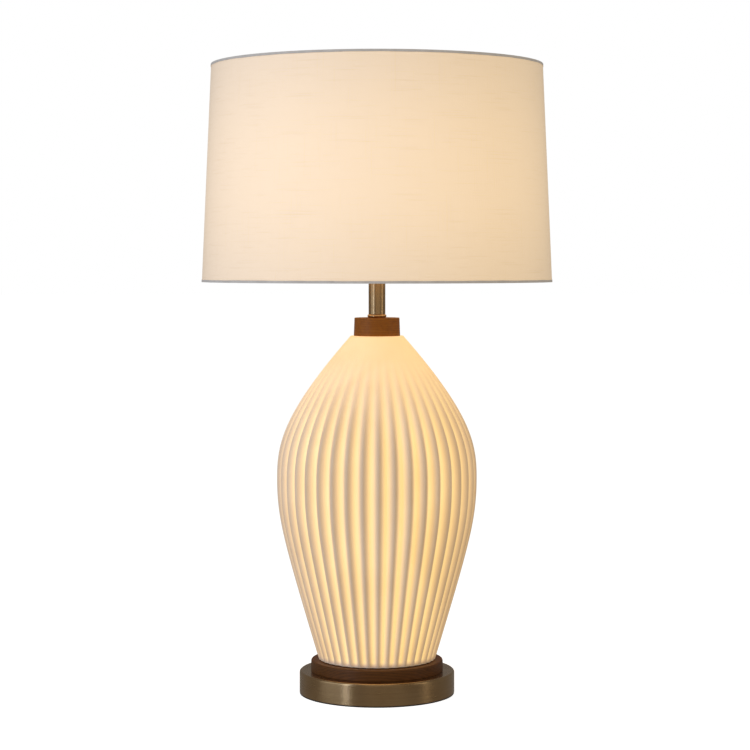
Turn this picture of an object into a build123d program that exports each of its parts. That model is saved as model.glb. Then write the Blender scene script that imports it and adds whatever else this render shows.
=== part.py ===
from build123d import *
import os
from math import cos, pi, radians, sin

# A table lamp: a fluted ceramic body lit from inside, on a spun brass drum with a
# wooden ring, under a tapered drum shade that is carried by a harp.
#
# Millimetres. The origin is the centre of the underside, +Z is up and runs along
# the lamp's axis, -Y is the front and the supply cord enters at the back, +Y.

# How far a cutting tool runs past the faces that it cuts.
overshoot = 1.0

# ---------------------------------------------------------------- base, sizes
pad_thickness = 1.5
pad_radius = 89.0

cover_radius = 91.0
cover_height = 25.5
cover_wall = 1.2
cover_edge_round = 2.4

weight_clearance = 0.5
weight_plate_thickness = 5.5
weight_rim_width = 12.0
weight_slot_width = 12.6
weight_slot_height = 13.5

pipe_radius = 5.1
pipe_bore_radius = 3.45
pipe_hole_clearance = 0.15
pipe_tail = 1.3
pipe_side_hole_radius = 1.6

washer_radius = 16.0
washer_thickness = 1.5
nut_across_flats = 15.0
nut_height = 4.0

inlet_height = 8.0
inlet_bore_radius = 3.7
inlet_barrel_radius = 5.6
inlet_hole_clearance = 0.15
inlet_barrel_length = 6.0
inlet_flange_radius = 7.6
inlet_flange_thickness = 1.6

ring_radius = 77.4
ring_height = 13.0
ring_edge_round = 2.2

# ------------------------------------------------------- ceramic body, sizes
gasket_thickness = 1.0
gasket_margin = 1.7
body_height = 378.8
body_bottom_radius = 68.7
body_bottom_lean = 42.0
body_bottom_rise = 141.4
body_widest_radius = 117.0
body_widest_height = 212.4
body_handle_below = 46.6
body_handle_above = 39.0
body_top_radius = 30.7
body_top_lean = 80.4
body_top_drop = 91.7
body_valley_wall = 3.2

flute_count = 40
flute_turn = 1.0
flute_depth = 6.8
flute_points = 4
flute_start = 0.8
flute_full_from = 9.0
flute_full_to = 254.0
flute_end = 344.0
lower_sections = 11
upper_sections = 10

# ------------------------------------------------ collar, neck and saddle, sizes
collar_height = 21.2
collar_bottom_radius = 27.1
collar_top_radius = 26.4
collar_edge_round = 0.7
collar_spigot_height = 5.0
collar_spigot_clearance = 0.4

bead_height = 3.8
bead_radius = 11.1

neck_radius = 9.8
neck_wall = 1.0
neck_height = 46.2

saddle_thickness = 2.0
saddle_width = 10.0
saddle_bend_radius = 6.0
saddle_arm_height = 9.0
saddle_centre_radius = 9.8

# -------------------------------------------------------------- harp, sizes
wire_radius = 2.0
harp_foot_spread = 32.0
post_height = 3.0
post_root = 2.0
lap_height = 8.0
lap_clearance = 0.05
lap_end_gap = 0.3
harp_leg_height = 32.3
harp_height = 216.0
harp_belly_spread = 60.0
harp_belly_start = 45.0
harp_shoulder_drop = 53.7
harp_shoulder_spread = 30.0
harp_foot_bend = 20.0
harp_belly_bend = 60.0
harp_upper_bend = 90.0
harp_shoulder_bend = 40.0
seat_radius = 8.0
seat_thickness = 2.0
seat_neck_radius = 5.0
seat_neck_height = 1.0
stud_radius = 3.17
stud_height = 12.0

ferrule_length = 12.0
ferrule_radius = 4.2
ferrule_clearance = 0.08
ferrule_gap = 0.3
ferrule_round = 0.8

# ------------------------------------------------------------- socket, sizes
cap_height = 19.0
cap_hub_radius = 9.0
cap_hub_height = 8.0
cap_wall = 0.8
cap_lip_height = 1.0
shell_radius = 17.2
shell_wall = 0.6
shell_height = 40.5
shell_bead_radius = 0.9
shell_seat_depth = 1.5
liner_clearance = 0.15
liner_wall = 0.6
interior_height = 18.0
interior_clearance = 0.3
screw_shell_radius = 13.4
screw_shell_wall = 0.5
screw_shell_height = 20.0
contact_radius = 4.0
contact_button_radius = 2.0
contact_thickness = 1.2
contact_rise = 1.8
contact_gap = 0.3

knob_shaft_radius = 1.5
knob_shaft_clearance = 0.08
knob_shaft_depth = 8.0
knob_axis_rise = 29.0
knob_wall_gap = 1.6
knob_radius = 5.5
knob_length = 13.0
knob_edge = 0.8
knob_rib_count = 12
knob_rib_radius = 0.7

# --------------------------------------------------------------- bulb, sizes
bulb_cap_radius = 13.1
bulb_cap_height = 24.0
bulb_cap_tip_radius = 4.5
bulb_cap_tip_height = 2.0
bulb_cap_cone_height = 5.0
bulb_radius = 27.0
bulb_length = 104.0
bulb_neck_radius = 12.6
bulb_neck_rise = 21.0
bulb_shoulder_drop = 25.0
bulb_wall = 1.0

# -------------------------------------------------------- night-light, sizes
night_bracket_height = 118.0
night_bracket_thickness = 2.0
night_bracket_width = 14.0
night_arm_end_round = 6.5
night_clamp_radius = 9.0
night_clamp_height = 9.0
night_screw_radius = 1.5
night_screw_head_radius = 2.8
night_screw_head_height = 2.0
night_offset = 30.0
night_socket_radius = 9.5
night_socket_height = 27.0
night_socket_stub_radius = 4.6
night_socket_stub_length = 8.0
night_socket_bore_radius = 6.3
night_socket_bore_depth = 17.5
night_stub_clearance = 0.1
night_stub_bore_radius = 1.6
night_nut_across_flats = 13.0
night_nut_height = 3.0
night_cap_radius = 6.0
night_cap_height = 16.0
night_cap_gap = 0.3
night_cap_tip_radius = 2.6
night_cap_tip_height = 1.5
night_cap_cone_height = 2.5
night_bulb_radius = 11.0
night_bulb_length = 54.0
night_bulb_neck_radius = 5.7
night_bulb_neck_rise = 8.0
night_bulb_shoulder_drop = 9.0
night_bulb_wall = 0.8

# --------------------------------------------------------------- leads, sizes
lead_radius = 1.9
lead_end_gap = 0.5
lead_bend = 9.0
lead_dip_bend = 60.0
lead_lowest_height = 4.5
lead_dip_distance = 52.0
branch_radius = 1.2
branch_bend = 14.0
branch_drop = 30.0
branch_gap = 0.05
branch_end_drop = 1.0

# -------------------------------------------------------------- shade, sizes
shade_height = 251.8
shade_bottom_radius = 204.0
shade_top_radius = 192.3
skin_thickness = 1.0
hem_height = 3.6
hem_thickness = 0.4
frame_wire_radius = 1.5
frame_wire_gap = 0.05
frame_wire_inset = 2.6
spider_arm_count = 3
spider_arm_turn = 90.0
spider_hub_radius = 13.0
spider_hub_thickness = 1.5
spider_hub_clearance = 0.08
spider_arm_run = 166.0
spider_arm_bend = 9.0
spider_recess = 10.8

# -------------------------------------------------------------- finial, sizes
finial_gap = 0.3
finial_clearance = 0.08
insert_flange_radius = 7.0
insert_flange_height = 1.5
insert_radius = 5.4
insert_height = 5.0
finial_neck_radius = 4.6
finial_neck_height = 2.5
finial_ball_radius = 7.6
finial_ball_show = 0.8
finial_bore_depth = 8.0

# ------------------------------------------------ heights that follow from them
cover_top = pad_thickness + cover_height
cover_plate_underside = cover_top - cover_wall
weight_plate_underside = cover_plate_underside - weight_plate_thickness
washer_underside = weight_plate_underside - washer_thickness
nut_underside = washer_underside - nut_height
pipe_bottom = nut_underside - pipe_tail
ring_top = cover_top + ring_height
body_bottom = ring_top + gasket_thickness
body_top = body_bottom + body_height
collar_top = body_top + collar_height
bead_top = collar_top + bead_height
neck_top = bead_top + neck_height
saddle_top = neck_top + saddle_thickness
post_bottom = saddle_top + saddle_arm_height
lap_bottom = post_bottom + post_height
lap_top = lap_bottom + lap_height
pipe_top = saddle_top + cap_hub_height
cap_top = saddle_top + cap_height
shell_bottom = cap_top - shell_seat_depth
shell_top = shell_bottom + shell_height
interior_top = cap_top + interior_height
contact_top = interior_top + contact_thickness + contact_rise
bulb_bottom = contact_top + contact_gap
bulb_cap_top = bulb_bottom + bulb_cap_height
bulb_top = bulb_bottom + bulb_length
knob_axis_height = saddle_top + knob_axis_rise
harp_seat_top = lap_bottom + harp_height
harp_top_wire_height = harp_seat_top - seat_thickness - seat_neck_height - wire_radius
spider_hub_top = harp_seat_top + spider_hub_thickness
spider_arm_height = spider_hub_top - frame_wire_radius
top_wire_height = spider_arm_height + spider_recess
shade_top_height = top_wire_height + frame_wire_inset
shade_bottom_height = shade_top_height - shade_height
bottom_wire_height = shade_bottom_height + frame_wire_inset
insert_bottom = spider_hub_top + finial_gap
insert_top = insert_bottom + insert_height

pipe_hole_radius = pipe_radius + pipe_hole_clearance
body_inset = flute_depth + body_valley_wall
body_top_opening = body_top_radius - body_inset


# --------------------------------------------------------------- small helpers
def upright(radius, bottom, top):
    """A cylinder on the lamp's axis between two heights."""
    return Pos(0, 0, bottom) * extrude(Circle(radius), top - bottom)


def pipe_hole(bottom, top):
    """The clearance hole that the threaded pipe passes through."""
    return upright(pipe_hole_radius, bottom, top)


def turned(*edges):
    """A solid of revolution about Z from a closed outline in the XZ plane."""
    outline = Plane.XZ * make_face(Wire(edges))
    return revolve(outline, Axis.Z)


def turned_polygon(*points):
    """A solid of revolution from the (radius, height) corners of its section."""
    return revolve(Plane.XZ * make_face(Polyline(*points, close=True)), Axis.Z)


def hexagon_nut(across_flats, hole_radius, bottom, height):
    """A plain hexagonal nut on the Z axis."""
    blank = RegularPolygon(across_flats / 2, 6, major_radius=False)
    return Pos(0, 0, bottom) * extrude(blank - Circle(hole_radius), height)


def radial_rod(radius, inner_y, outer_y, height):
    """A rod along Y at a height, between two distances from the axis."""
    rod = Plane.XZ * Circle(radius)
    return Pos(0, inner_y, height) * extrude(rod, -(outer_y - inner_y))


def round_lead(points, bends, radius):
    """A round lead along straight runs joined by tangent arcs."""
    route = FilletPolyline(*points, radius=bends)
    section = Plane(route @ 0, z_dir=route % 0) * Circle(radius)
    return sweep(section, route)


def smooth_step(value, start, end):
    """Rises from 0 at start to 1 at end with level ends."""
    share = min(max((value - start) / (end - start), 0.0), 1.0)
    return share * share * (3.0 - 2.0 * share)


# ------------------------------------------------------------------------ base
def make_felt_pad():
    return upright(pad_radius, 0, pad_thickness)


def make_base_cover():
    """A spun drum, open below, with a hole for the pipe and one for the inlet."""
    drum = upright(cover_radius, pad_thickness, cover_top)
    rim = drum.faces().sort_by(Axis.Z)[-1].edges()
    drum = fillet(rim, cover_edge_round)
    drum -= upright(cover_radius - cover_wall, 0, cover_plate_underside)
    drum -= pipe_hole(0, cover_top)
    hole_radius = inlet_barrel_radius + inlet_hole_clearance
    return drum - radial_rod(hole_radius, 0, cover_radius + overshoot, inlet_height)


def make_cord_inlet():
    """The flanged bushing that lines the hole for the supply cord."""
    outer_y = cover_radius + inlet_flange_thickness
    barrel_start = cover_radius - inlet_barrel_length
    bushing = radial_rod(inlet_barrel_radius, barrel_start, outer_y, inlet_height)
    bushing += radial_rod(inlet_flange_radius, cover_radius, outer_y, inlet_height)
    return bushing - radial_rod(inlet_bore_radius, 0, outer_y + overshoot, inlet_height)


def make_base_weight():
    """A cast cup: a plate under the cover's top and a rim down to the pad."""
    radius = cover_radius - cover_wall - weight_clearance
    corner = cover_edge_round + weight_clearance
    casting = upright(radius, pad_thickness, cover_plate_underside)
    casting = chamfer(casting.faces().sort_by(Axis.Z)[-1].edges(), corner)
    casting -= upright(radius - weight_rim_width, 0, weight_plate_underside)
    casting -= pipe_hole(0, cover_top)
    slot = Box(weight_slot_width, cover_radius, weight_slot_height)
    slot_middle = Pos(0, cover_radius / 2, pad_thickness + weight_slot_height / 2)
    return casting - slot_middle * slot


def make_base_washer():
    washer = upright(washer_radius, washer_underside, weight_plate_underside)
    return washer - pipe_hole(0, cover_top)


def make_base_nut():
    return hexagon_nut(nut_across_flats, pipe_radius, nut_underside, nut_height)


def make_threaded_pipe():
    """The hollow rod that clamps the stack, with a side hole for the branch lead."""
    pipe = upright(pipe_radius, pipe_bottom, pipe_top)
    pipe -= upright(pipe_bore_radius, pipe_bottom - overshoot, pipe_top + overshoot)
    side_hole = Plane.YZ * Circle(pipe_side_hole_radius)
    return pipe - Pos(0, 0, branch_height) * extrude(side_hole, pipe_radius + overshoot)


def make_wood_ring():
    ring = upright(ring_radius, cover_top, ring_top)
    ring = fillet(ring.faces().sort_by(Axis.Z)[-1].edges(), ring_edge_round)
    return ring - pipe_hole(cover_top, ring_top)


def make_bottom_gasket():
    inner_radius = body_bottom_radius - body_inset
    outer = upright(body_bottom_radius - gasket_margin, ring_top, body_bottom)
    return outer - upright(inner_radius, ring_top, body_bottom)


# ---------------------------------------------------------------- ceramic body
def body_curves(inset):
    """The two curves of the body's side, moved towards the axis by an inset."""
    widest = body_bottom + body_widest_height
    widest_radius = body_widest_radius - inset
    bottom_radius = body_bottom_radius - inset
    top_radius = body_top_radius - inset
    lower = Bezier(
        (bottom_radius, body_bottom),
        (bottom_radius + body_bottom_lean, body_bottom + body_bottom_rise),
        (widest_radius, widest - body_handle_below),
        (widest_radius, widest),
    )
    upper = Bezier(
        (widest_radius, widest),
        (widest_radius, widest + body_handle_above),
        (top_radius + body_top_lean, body_top - body_top_drop),
        (top_radius, body_top),
    )
    return lower, upper


def flute_depth_at(radius, height):
    """Depth in proportion to the girth, run out at the foot and on the shoulder."""
    rise = height - body_bottom
    run_in = smooth_step(rise, flute_start, flute_full_from)
    run_out = 1.0 - smooth_step(rise, flute_full_to, flute_end)
    return flute_depth * radius / body_widest_radius * run_in * run_out


def one_flute(radius, depth, number):
    """The curve of one flute at one height, from its crest to the next crest."""
    pitch = 2 * pi / flute_count
    start = number * pitch + radians(flute_turn) - pi / 2
    places = []
    for index in range(flute_points + 1):
        share = index / flute_points
        reach = radius - depth * (1.0 - cos(2 * pi * share)) / 2.0
        angle = start + share * pitch
        places.append((reach * cos(angle), reach * sin(angle)))
    along_start = (-sin(start), cos(start))
    along_end = (-sin(start + pitch), cos(start + pitch))
    return Spline(*places, tangents=[along_start, along_end])


def fluted_outline(radius, height):
    """The closed outline of the body at one height, one curve for each flute."""
    depth = flute_depth_at(radius, height)
    curves = [one_flute(radius, depth, number) for number in range(flute_count)]
    return Pos(0, 0, height) * Wire(curves)


def make_ceramic_body():
    """A shell, fluted outside and smooth inside, open at the foot and the top."""
    lower, upper = body_curves(0.0)
    stations = [lower @ ((i / lower_sections) ** 3) for i in range(lower_sections)]
    stations += [upper @ (i / upper_sections) for i in range(upper_sections + 1)]
    outlines = [fluted_outline(place.X, place.Y) for place in stations]
    outside = Solid.make_loft(outlines)
    low_in, high_in = body_curves(body_inset)
    top_in = high_in @ 1
    bottom_in = low_in @ 0
    on_axis = [(0, body_top), (0, body_bottom)]
    cap = Polyline((top_in.X, top_in.Y), *on_axis, (bottom_in.X, bottom_in.Y))
    return outside - turned(low_in, high_in, *cap.edges())


# ---------------------------------------------------- collar, neck and saddle
def make_wood_collar():
    """A turned wooden collar whose spigot centres it in the body's opening."""
    collar = turned_polygon(
        (0, body_top),
        (collar_bottom_radius, body_top),
        (collar_top_radius, collar_top),
        (0, collar_top),
    )
    rims = collar.edges().filter_by(GeomType.CIRCLE)
    collar = fillet(rims, collar_edge_round)
    spigot_radius = body_top_opening - collar_spigot_clearance
    collar += upright(spigot_radius, body_top - collar_spigot_height, body_top)
    return collar - pipe_hole(body_top - collar_spigot_height, collar_top)


def make_neck_bead():
    """A brass bead: a disc as wide as the neck, with a bulging edge."""
    middle = (collar_top + bead_top) / 2
    section = Polyline(
        (neck_radius, bead_top),
        (pipe_hole_radius, bead_top),
        (pipe_hole_radius, collar_top),
        (neck_radius, collar_top),
    )
    edge = ThreePointArc((neck_radius, collar_top), (bead_radius, middle), (neck_radius, bead_top))
    return turned(*section.edges(), edge)


def make_neck_tube():
    tube = upright(neck_radius, bead_top, neck_top)
    return tube - upright(neck_radius - neck_wall, bead_top, neck_top)


def half_post(side, keep_outer, bottom, top):
    """One half of the lap joint between a saddle post and a harp foot."""
    direction = side if keep_outer else -side
    post = Pos(side * harp_foot_spread, 0, 0) * upright(wire_radius, bottom, top)
    middle = side * harp_foot_spread + direction * (lap_clearance + wire_radius)
    keep = Pos(middle, 0, (bottom + top) / 2) * Box(2 * wire_radius, 4 * wire_radius, top - bottom)
    return post & keep


def make_harp_saddle():
    """A bent strip across the pipe with a post at each end for the harp's feet."""
    middle = saddle_thickness / 2
    arm_height = post_bottom - neck_top - middle
    bend = saddle_bend_radius - middle
    path = FilletPolyline(
        (-harp_foot_spread, arm_height),
        (-harp_foot_spread, 0),
        (harp_foot_spread, 0),
        (harp_foot_spread, arm_height),
        radius=bend,
    )
    profile = trace(path, line_width=saddle_thickness)
    strip = extrude(Plane.XZ * profile, saddle_width / 2, both=True)
    saddle = Pos(0, 0, neck_top + middle) * strip
    saddle += upright(saddle_centre_radius, neck_top, saddle_top)
    for side in (-1, 1):
        at_post = Pos(side * harp_foot_spread, 0, 0)
        saddle += at_post * upright(wire_radius, post_bottom - post_root, lap_bottom)
        saddle += half_post(side, True, lap_bottom, lap_top)
    return saddle - pipe_hole(neck_top, saddle_top)


# ------------------------------------------------------------------- harp
def make_harp():
    """A bowed wire with lapped feet and a seat and stud for shade and finial."""
    leg_top = lap_bottom + harp_leg_height
    belly_low = leg_top + harp_belly_start
    belly_high = harp_top_wire_height - harp_shoulder_drop
    corners = [
        (harp_foot_spread, lap_top + lap_end_gap),
        (harp_foot_spread, leg_top),
        (harp_belly_spread, belly_low),
        (harp_belly_spread, belly_high),
        (harp_shoulder_spread, harp_top_wire_height),
    ]
    mirrored = [(-x, z) for x, z in reversed(corners)]
    bends = [harp_foot_bend, harp_belly_bend, harp_upper_bend, harp_shoulder_bend]
    points = [(x, 0, z) for x, z in corners + mirrored]
    harp = round_lead(points, bends + bends[::-1], wire_radius)
    for side in (-1, 1):
        harp += half_post(side, False, lap_bottom, lap_top + lap_end_gap)
    harp += upright(seat_neck_radius, harp_top_wire_height, harp_seat_top)
    harp += upright(seat_radius, harp_seat_top - seat_thickness, harp_seat_top)
    return harp + upright(stud_radius, harp_seat_top, harp_seat_top + stud_height)


def make_ferrule(side):
    """A sleeve that slides down over the lap joint and locks the harp."""
    bottom = post_bottom + ferrule_gap
    sleeve = upright(ferrule_radius, bottom, bottom + ferrule_length)
    sleeve = fillet(sleeve.edges().filter_by(GeomType.CIRCLE), ferrule_round)
    sleeve -= upright(wire_radius + ferrule_clearance, bottom, bottom + ferrule_length)
    return Pos(side * harp_foot_spread, 0, 0) * sleeve


# ------------------------------------------------------------------ socket
def make_socket_cap():
    """The bell-shaped lower half of the socket's case, screwed to the pipe."""
    inner_radius = shell_radius + liner_clearance
    outer_radius = inner_radius + cap_wall
    slope_top = shell_bottom - cap_lip_height
    outside = [
        (0, saddle_top),
        (cap_hub_radius, saddle_top),
        (cap_hub_radius, saddle_top + cap_hub_height / 2),
        (outer_radius, slope_top),
        (outer_radius, cap_top),
        (0, cap_top),
    ]
    inside = [
        (0, saddle_top + cap_hub_height),
        (cap_hub_radius - cap_wall, saddle_top + cap_hub_height),
        (inner_radius - cap_wall, slope_top + cap_wall),
        (inner_radius - cap_wall, shell_bottom),
        (inner_radius, shell_bottom),
        (inner_radius, cap_top),
        (0, cap_top),
    ]
    cap = turned_polygon(*outside) - turned_polygon(*inside)
    return cap - upright(pipe_radius, saddle_top, cap_top)


def knob_hole(clearance):
    """The radial hole in the socket's walls for the switch shaft."""
    return radial_rod(knob_shaft_radius + clearance, -cover_radius, -knob_shaft_depth, knob_axis_height)


def make_socket_shell():
    """The socket's upper case with a rolled rim."""
    shell = upright(shell_radius, shell_bottom, shell_top)
    shell -= upright(shell_radius - shell_wall, shell_bottom, shell_top)
    rim = Pos(shell_radius, 0, shell_top - shell_bead_radius) * (Plane.XZ * Circle(shell_bead_radius))
    shell += revolve(rim, Axis.Z)
    return shell - knob_hole(shell_wall)


def make_socket_liner():
    """The insulating sleeve between the case and the live parts."""
    radius = shell_radius - shell_wall - liner_clearance
    liner = upright(radius, cap_top, shell_top - 2 * shell_bead_radius)
    liner -= upright(radius - liner_wall, cap_top, shell_top)
    return liner - knob_hole(shell_wall)


def make_socket_interior():
    """The moulded block that holds the switch, the contact and the screw shell."""
    radius = shell_radius - shell_wall - liner_wall - liner_clearance - interior_clearance
    block = upright(radius, cap_top, interior_top)
    return block - knob_hole(knob_shaft_clearance)


def make_screw_shell():
    """The metal shell that the bulb's cap screws into."""
    top = interior_top + screw_shell_height
    shell = upright(screw_shell_radius + screw_shell_wall, interior_top, top)
    return shell - upright(screw_shell_radius, interior_top, top)


def make_centre_contact():
    """The live contact under the bulb: a disc with a raised button."""
    disc = upright(contact_radius, interior_top, interior_top + contact_thickness)
    return disc + upright(contact_button_radius, interior_top, contact_top)


def make_switch_knob():
    """A ribbed knob on the shaft of the turn switch."""
    near = -(shell_radius + knob_wall_gap)
    far = near - knob_length
    knob = radial_rod(knob_radius, far, near, knob_axis_height)
    knob = chamfer(knob.edges().filter_by(GeomType.CIRCLE), knob_edge)
    groove = radial_rod(knob_rib_radius, far, near, 0)
    for index in range(knob_rib_count):
        turn = 2 * pi * index / knob_rib_count
        knob -= Pos(knob_radius * cos(turn), 0, knob_axis_height + knob_radius * sin(turn)) * groove
    return knob + radial_rod(knob_shaft_radius, near, -knob_shaft_depth, knob_axis_height)


# -------------------------------------------------------------------- bulbs
def make_bulb_cap(bottom, radius, height, tip_radius, tip_height, cone_height):
    """A screw cap: contact tip, insulating cone and threaded shell as one piece."""
    return turned_polygon(
        (0, bottom),
        (tip_radius, bottom),
        (tip_radius, bottom + tip_height),
        (radius, bottom + tip_height + cone_height),
        (radius, bottom + height),
        (0, bottom + height),
    )


def make_bulb_globe(bottom, top, radius, neck_radius_out, neck_rise, shoulder_drop, wall):
    """A hollow glass envelope, open at the neck where the cap closes it."""
    centre = top - radius
    solids = []
    for inset in (0.0, wall):
        reach = radius - inset
        neck = neck_radius_out - inset
        handles = [(neck, bottom + neck_rise), (reach, centre - shoulder_drop)]
        side = Bezier((neck, bottom), *handles, (reach, centre))
        halfway = (reach * cos(pi / 4), centre + reach * sin(pi / 4))
        dome = ThreePointArc((reach, centre), halfway, (0, centre + reach))
        closing = Polyline((0, centre + reach), (0, bottom), (neck, bottom))
        solids.append(turned(side, dome, *closing.edges()))
    return solids[0] - solids[1]


# -------------------------------------------------------------- night-light
night_arm_underside = body_bottom + night_bracket_height
night_arm_top = night_arm_underside + night_bracket_thickness
night_bore_bottom = night_arm_top + night_socket_height - night_socket_bore_depth
night_bulb_bottom = night_bore_bottom + night_cap_gap
night_cap_top = night_bulb_bottom + night_cap_height
branch_height = night_arm_underside - branch_drop
at_night_light = Pos(night_offset, 0, 0)


def make_night_bracket():
    """A clamp collar on the pipe with an arm that holds the small socket."""
    clamp = upright(night_clamp_radius, night_arm_top - night_clamp_height, night_arm_top)
    arm_length = night_offset + night_bracket_width / 2
    arm = Box(arm_length, night_bracket_width, night_bracket_thickness)
    arm = fillet(arm.edges().filter_by(Axis.Z).group_by(Axis.X)[-1], night_arm_end_round)
    bracket = clamp + Pos(arm_length / 2, 0, night_arm_top - night_bracket_thickness / 2) * arm
    hole_radius = night_socket_stub_radius + night_stub_clearance
    stub_hole = upright(hole_radius, night_arm_underside - overshoot, night_arm_top + overshoot)
    bracket -= at_night_light * stub_hole
    screw_height = night_arm_top - night_clamp_height / 2
    bracket -= radial_rod(night_screw_radius, 0, night_clamp_radius + overshoot, screw_height)
    return bracket - pipe_hole(night_arm_top - night_clamp_height, night_arm_top)


def make_night_clamp_screw():
    """The screw that holds the bracket's collar on the pipe."""
    screw_height = night_arm_top - night_clamp_height / 2
    head_end = night_clamp_radius + night_screw_head_height
    screw = radial_rod(night_screw_radius, pipe_hole_radius, night_clamp_radius, screw_height)
    return screw + radial_rod(night_screw_head_radius, night_clamp_radius, head_end, screw_height)


def make_night_socket():
    """A small screw socket with a threaded stub through the bracket's arm."""
    socket = upright(night_socket_radius, night_arm_top, night_arm_top + night_socket_height)
    stub_bottom = night_arm_underside - night_socket_stub_length
    socket += upright(night_socket_stub_radius, stub_bottom, night_arm_top)
    socket -= upright(night_socket_bore_radius, night_bore_bottom, night_arm_top + night_socket_height)
    socket -= upright(night_stub_bore_radius, stub_bottom, night_arm_top)
    return at_night_light * socket


def make_night_nut():
    bottom = night_arm_underside - night_nut_height
    nut = hexagon_nut(night_nut_across_flats, night_socket_stub_radius, bottom, night_nut_height)
    return at_night_light * nut


# -------------------------------------------------------------------- leads
def make_supply_lead():
    """The lead inside the lamp: inlet, along the base, up the pipe to the socket."""
    lead_start = cover_radius - inlet_barrel_length - lead_end_gap
    points = [
        (0, lead_start, inlet_height),
        (0, lead_dip_distance, lead_lowest_height),
        (0, 0, lead_lowest_height),
        (0, 0, cap_top),
    ]
    return round_lead(points, [lead_dip_bend, lead_bend], lead_radius)


def make_branch_lead():
    """The lead that leaves the pipe and feeds the night-light's socket."""
    points = [
        (lead_radius + branch_gap, 0, branch_height),
        (night_offset, 0, branch_height),
        (night_offset, 0, night_arm_underside - branch_end_drop),
    ]
    return round_lead(points, [branch_bend], branch_radius)


# -------------------------------------------------------------------- shade
def skin_radius(height):
    """The outer radius of the shade's skin at a height."""
    share = (height - shade_bottom_height) / shade_height
    return shade_bottom_radius + (shade_top_radius - shade_bottom_radius) * share


def cone_band(low, high, inner_gap, thickness):
    """A thin band along the shade's slope, a gap outside the skin's surface."""
    inner_low = skin_radius(low) + inner_gap
    inner_high = skin_radius(high) + inner_gap
    return turned_polygon(
        (inner_low, low),
        (inner_low + thickness, low),
        (inner_high + thickness, high),
        (inner_high, high),
    )


def make_shade_skin():
    low = shade_bottom_height + hem_thickness
    high = shade_top_height - hem_thickness
    return cone_band(low, high, -skin_thickness - hem_thickness, skin_thickness)


def make_hem(edge_height, inward):
    """The folded tape on one edge of the shade: a band and a turned-in lip."""
    far = edge_height + inward * hem_height
    lip = edge_height + inward * hem_thickness
    band = cone_band(min(edge_height, far), max(edge_height, far), -hem_thickness, hem_thickness)
    lip_start = -skin_thickness - hem_thickness
    lip_band = cone_band(min(edge_height, lip), max(edge_height, lip), lip_start, skin_thickness)
    return band + lip_band


def hoop_radius(height):
    """The radius of a frame hoop that lies against the inside of the skin."""
    inside = skin_radius(height) - hem_thickness - skin_thickness
    return inside - frame_wire_gap - frame_wire_radius


def frame_hoop(height):
    section = Plane.XZ * Circle(frame_wire_radius)
    return revolve(Pos(hoop_radius(height), 0, height) * section, Axis.Z)


def make_bottom_ring():
    return frame_hoop(bottom_wire_height)


def make_spider():
    """The top hoop with three arms down to the hub that sits on the harp."""
    spider = frame_hoop(top_wire_height)
    points = [
        (spider_hub_radius - frame_wire_radius, 0, spider_arm_height),
        (spider_arm_run, 0, spider_arm_height),
        (hoop_radius(top_wire_height), 0, top_wire_height),
    ]
    arm = round_lead(points, [spider_arm_bend], frame_wire_radius)
    for index in range(spider_arm_count):
        spider += Rot(0, 0, spider_arm_turn + 360 * index / spider_arm_count) * arm
    spider += upright(spider_hub_radius, harp_seat_top, spider_hub_top)
    return spider - upright(stud_radius + spider_hub_clearance, harp_seat_top, spider_hub_top)


# ------------------------------------------------------------------- finial
def make_finial_insert():
    """The threaded foot of the finial."""
    foot = upright(insert_flange_radius, insert_bottom, insert_bottom + insert_flange_height)
    foot += upright(insert_radius, insert_bottom, insert_top)
    return foot - upright(stud_radius + finial_clearance, insert_bottom, insert_top)


def make_finial_knob():
    """The ball of the finial, bored for the end of the stud."""
    centre = insert_top + finial_neck_height + finial_ball_radius * finial_ball_show
    ball = Pos(0, 0, centre) * Sphere(finial_ball_radius)
    knob = ball + upright(finial_neck_radius, insert_top, centre)
    return knob - upright(stud_radius + finial_clearance, insert_top, insert_top + finial_bore_depth)


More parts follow.
